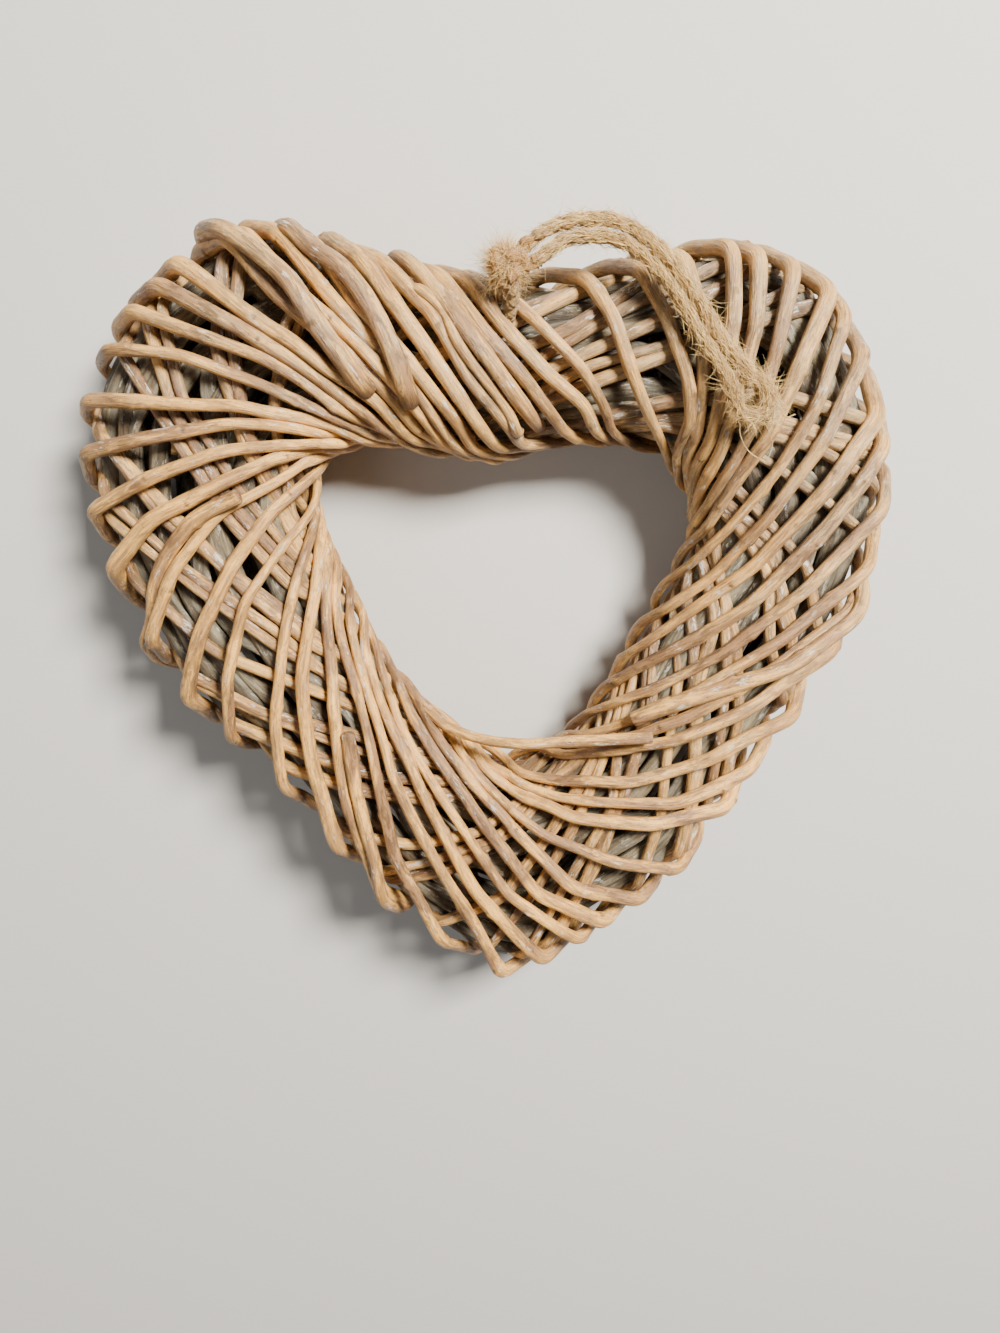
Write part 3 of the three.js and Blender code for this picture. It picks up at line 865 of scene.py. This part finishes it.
LOOP_POINTS = np.array([
    (13.6, 301.6, 35.9), (20.5, 306.6, 36.2), (28.0, 309.5, 36.5), (41.0, 309.3, 37.0),
    (52.4, 303.7, 38.0), (61.9, 294.9, 38.2), (69.5, 284.6, 38.6), (76.7, 274.1, 38.8),
    (84.1, 264.2, 38.8), (90.2, 253.9, 38.8), (92.3, 247.6, 38.8), (96.6, 245.1, 38.8),
    (101.4, 246.3, 38.8), (103.9, 250.6, 38.8), (102.7, 255.4, 38.8), (97.3, 259.6, 38.8),
    (88.9, 267.8, 38.8), (81.3, 277.4, 38.8), (74.0, 287.9, 38.6), (66.1, 298.6, 38.2),
    (56.1, 307.8, 38.0), (43.0, 314.9, 37.0), (28.0, 315.5, 36.5), (18.5, 312.8, 36.2),
    (10.3, 307.6, 35.9)])
TWINE_DIAMETER = 5.0
PLIES = 2
KNOT_SPREAD = 2.0
KNOT_HEIGHT = 4.6
HAIR_RINGS = 4
HAIR_SIDES = 3
HAIR_POINTS = HAIR_RINGS * HAIR_SIDES
loop_line = smooth_path(LOOP_POINTS, 420)
box_low, box_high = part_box("hanger_knot")
knot_middle = in_drawing(np.array((box_low + box_high) / 2) / MM)


def laid_twine(piece, line, outward, radius, pitch, tone):
    """Plies laid round each other: each follows a helix of the given pitch round the line."""
    run = run_along(line)
    along, out, aside = path_frames(line, outward, False)
    for ply in range(PLIES):
        turn = 2 * math.pi * (run / pitch + ply / PLIES)
        offset = radius * 0.36 * (np.cos(turn)[:, None] * out + np.sin(turn)[:, None] * aside)
        thick = radius * 0.72 * (1 + wave(len(line), 60, 0.1, False))
        points, faces, grain = carried(line + offset, out, thick, False, 10)
        points = points + RNG.normal(0, 0.08, points.shape)
        grain[:, 0] += ply * 40
        piece.add(points, faces, grain=grain, tone=tone)


def hairs(piece, roots, directions, lengths, thickness, curl, tone):
    """Loose fibres: each is a three-sided tube along root + length x (t x direction + bend x t squared to
    one side + swirl x t cubed to the other), a fifth as thick at its tip, all worked out as one array."""
    count = len(roots)
    t = np.linspace(0, 1, HAIR_RINGS)[None, :, None]
    directions = unit(directions)
    side = unit(np.cross(directions, RNG.normal(0, 1, (count, 3))))
    other = np.cross(directions, side)
    bend = curl * RNG.normal(0, 1, (count, 1, 1))
    swirl = curl * RNG.normal(0, 0.5, (count, 1, 1))
    line = roots[:, None] + lengths[:, None, None] * (
        directions[:, None] * t + side[:, None] * bend * t ** 2 + other[:, None] * swirl * t ** 3)
    angle = np.array((0, 2, 4)) * math.pi / 3
    around = (np.cos(angle)[None, :, None] * side[:, None] + np.sin(angle)[None, :, None] * other[:, None])
    width = thickness * (1 - 0.8 * t)
    points = line[:, :, None] + width[..., None] * around[:, None]
    ring = np.arange(HAIR_RINGS - 1)[None, :, None]
    corner = np.arange(HAIR_SIDES)[None, None, :]
    starts = (np.arange(count) * HAIR_POINTS)[:, None]
    a = starts[:, :, None] + ring * HAIR_SIDES + corner
    b = starts[:, :, None] + ring * HAIR_SIDES + (corner + 1) % HAIR_SIDES
    quads = np.stack((a, b, b + HAIR_SIDES, a + HAIR_SIDES), -1).reshape(-1, 4)
    caps = np.vstack((starts + np.array((2, 1, 0)), starts + np.array((9, 10, 11))))
    flat = points.reshape(-1, 3)
    grain = np.column_stack((np.zeros((len(flat), 2)), np.repeat(np.arange(count), HAIR_POINTS) * 3.7))
    piece.add(flat, [quads, caps], grain=grain,
              tone=np.repeat(tone * RNG.uniform(0.4, 1.2, count), HAIR_POINTS))


loop_outward = np.tile((0.0, 0.0, 1.0), (len(loop_line), 1))
loop_piece = Piece("hanger_loop_twine")
laid_twine(loop_piece, loop_line, loop_outward, TWINE_DIAMETER / 2, 15.0, 0.6)
loop = loop_piece.made(JUTE, "jute_twine")
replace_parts(loop, "hanger_loop")


def knot_twine():
    """The knot: twine along a trefoil, the curve (2 + cos 3t) x (cos 2t, sin 2t) with height sin 3t, and
    two necks of twine that run into it from the ends of the loop."""
    piece = Piece("hanger_knot_twine")
    t = np.linspace(0, 2 * math.pi, 260)
    line = np.column_stack(((2 + np.cos(3 * t)) * np.cos(2 * t) * KNOT_SPREAD,
                            (2 + np.cos(3 * t)) * np.sin(2 * t) * KNOT_SPREAD,
                            KNOT_HEIGHT * np.sin(3 * t)))
    laid_twine(piece, line + knot_middle, unit(line), 2.7, 9.0, 0.35)
    for end, inside in ((loop_line[0], loop_line[6]), (loop_line[-1], loop_line[-7])):
        along = (end - inside) / np.linalg.norm(end - inside)
        neck = smooth_path(np.stack((end - 2 * along, end + along, (end + 2 * along + knot_middle) / 2,
                                     knot_middle)), 40)
        laid_twine(piece, neck, np.tile((0.0, 0.0, 1.0), (40, 1)), 2.6, 15.0, 0.6)
    return piece.made(KNOT_JUTE, "jute_twine")


knot = knot_twine()
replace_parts(knot, "hanger_knot")


def knot_tail():
    """The end of the twine, down from the knot and in between the rods that it is tied round."""
    piece = Piece("hanger_tail_twine")
    knots = knot_middle + np.array(((1, -3, 1), (2, -9, 0.5), (1, -15, -3.5), (0, -18, -9), (-1, -17, -15)))
    line = smooth_path(knots, 90)
    laid_twine(piece, line, away_from_middle(line), 2.5, 11.0, 0.5)
    return piece.made(JUTE, "jute_twine")


tail = knot_tail()


def downy(piece, line, outward, radius, count, lengths, lift, thickness):
    """Hair on a strand: rooted on its surface, running along it either way, and lifting off it."""
    place = RNG.integers(4, len(line) - 4, count)
    along = path_frames(line, outward, False)[0][place]
    away = RNG.normal(0, 1, (count, 3))
    away = unit(away - along * (away * along).sum(1, keepdims=True))
    onward = along * np.where(RNG.uniform(0, 1, (count, 1)) < 0.5, -1, 1)
    hairs(piece, line[place] + away * radius, onward + away * np.abs(RNG.normal(0, lift, (count, 1))),
          RNG.uniform(*lengths, count), thickness, 0.3, 0.8)


def loop_down():
    """The loop's nap: short hair that lies close, and longer hair that stands off, most at its far end."""
    piece = Piece("hanger_loop_down")
    downy(piece, loop_line, loop_outward, 2.2, 2300, (3.0, 8.0), 0.16, 0.16)
    downy(piece, loop_line, loop_outward, 2.3, 800, (3.0, 9.0), 0.8, 0.1)
    downy(piece, loop_line[160:250], loop_outward[160:250], 2.0, 500, (4.0, 12.0), 1.3, 0.09)
    return piece.made(PALE_JUTE, "jute_twine")


def knot_down():
    """The frayed knot: close curly hair all round, most of it up and to the left, and a few long ones. For
    each coat: how many, how far from the middle, how long, how thick and how curly."""
    piece = Piece("hanger_knot_down")
    coats = ((1300, 5.8, (2, 5), 0.15, 1.2), (600, 6.2, (4, 9), 0.12, 0.8), (24, 5.5, (9, 14), 0.12, 0.25))
    for count, spread, lengths, thickness, curl in coats:
        away = unit(RNG.normal(0, 1, (count, 3)) + (-0.4, 0.35, 0.0))
        hairs(piece, knot_middle + away * RNG.uniform(0.6, 1.0, (count, 1)) * spread, away,
              RNG.uniform(*lengths, count), thickness, curl, 0.75)
    return piece.made(PALE_JUTE, "jute_twine")


def stray_fibres():
    """Long loose fibres: one by the loop, and three past its end."""
    piece = Piece("hanger_stray_fibres")
    for points in (((72, 291, 41), (80, 284, 39), (86, 273, 37), (89, 262, 35.5)),
                   ((93, 246, 39), (93, 239, 38), (97, 232, 37.5), (104, 228, 36)),
                   ((99, 246, 39), (104, 240, 38), (106, 234, 37.5), (105, 230, 37)),
                   ((100, 251, 40), (106, 250, 40), (110, 245, 38.5), (114, 246, 37.5))):
        line = smooth_path(np.array(points, float), 30)
        points, faces, grain = carried(line, away_from_middle(line), 0.22, False, 6)
        piece.add(points, faces, grain=grain, tone=1.0)
    return piece.made(PALE_JUTE, "jute_twine")


down = loop_down()
knot_hair = knot_down()
strays = stray_fibres()


# The studio: camera, lights and floor
CAMERA_PLACE = (0.0053, 0.1022, 0.4686)
CAMERA_BACK = (0.0, 0.2673, 0.9636)
CAMERA_UP = (0.0, 0.9636, -0.2673)
SENSOR = 36.0
PHOTO_FOCAL_SHARE = 1000 / 1333


def put_in_place(made, place, right, up, back):
    """Puts a camera or a light in its place, turned to the three unit vectors of its own axes."""
    turned = Matrix.Identity(4)
    for axis, vector in enumerate((right, up, back)):
        for row in range(3):
            turned[row][axis] = vector[row]
    made.matrix_world = Matrix.Translation(place) @ turned


def studio_camera():
    """The photograph's view: its focal length is 1000 of the 1333 pixels of its long side."""
    data = bpy.data.cameras.new("photo_camera")
    data.sensor_width = SENSOR
    data.lens = SENSOR * PHOTO_FOCAL_SHARE
    data.clip_start = 0.01
    data.clip_end = 20.0
    camera = in_scene("photo_camera", data)
    put_in_place(camera, CAMERA_PLACE, np.cross(CAMERA_UP, CAMERA_BACK), CAMERA_UP, CAMERA_BACK)
    bpy.context.scene.camera = camera


def soft_light(name, place, size, power, colour):
    """A square soft light that faces the heart."""
    data = bpy.data.lights.new(name, "AREA")
    data.shape = "SQUARE"
    data.size = size
    data.energy = power
    data.color = colour
    back = np.array(place, float)
    back /= np.linalg.norm(back)
    right = np.cross((0.0, 1.0, 0.0), back)
    right /= np.linalg.norm(right)
    put_in_place(in_scene(name, data), place, right, np.cross(back, right), back)


def studio_floor():
    """A plain pale floor."""
    finish = Finish("pale_floor")
    finish.feed(finish.shader, {"Base Color": (0.55, 0.545, 0.535, 1.0), "Roughness": 0.8})
    mesh = bpy.data.meshes.new("floor")
    mesh.from_pydata([(-3, -3, 0), (3, -3, 0), (3, 3, 0), (-3, 3, 0)], [], [(0, 1, 2, 3)])
    mesh.materials.append(finish.material)
    floor = in_scene("floor", mesh)


studio_camera()
studio_floor()
soft_light("key_light", (0.7, 0.8, 1.2), 0.4, 100.0, (1.0, 0.94, 0.84))
soft_light("fill_light", (-1.1, -0.5, 1.1), 1.2, 7.0, (1.0, 0.96, 0.9))
world = bpy.data.worlds.new("studio_air")
world.use_nodes = True
world.node_tree.nodes["Background"].inputs["Color"].default_value = (0.9, 0.94, 1.0, 1.0)
world.node_tree.nodes["Background"].inputs["Strength"].default_value = 0.12
bpy.context.scene.world = world
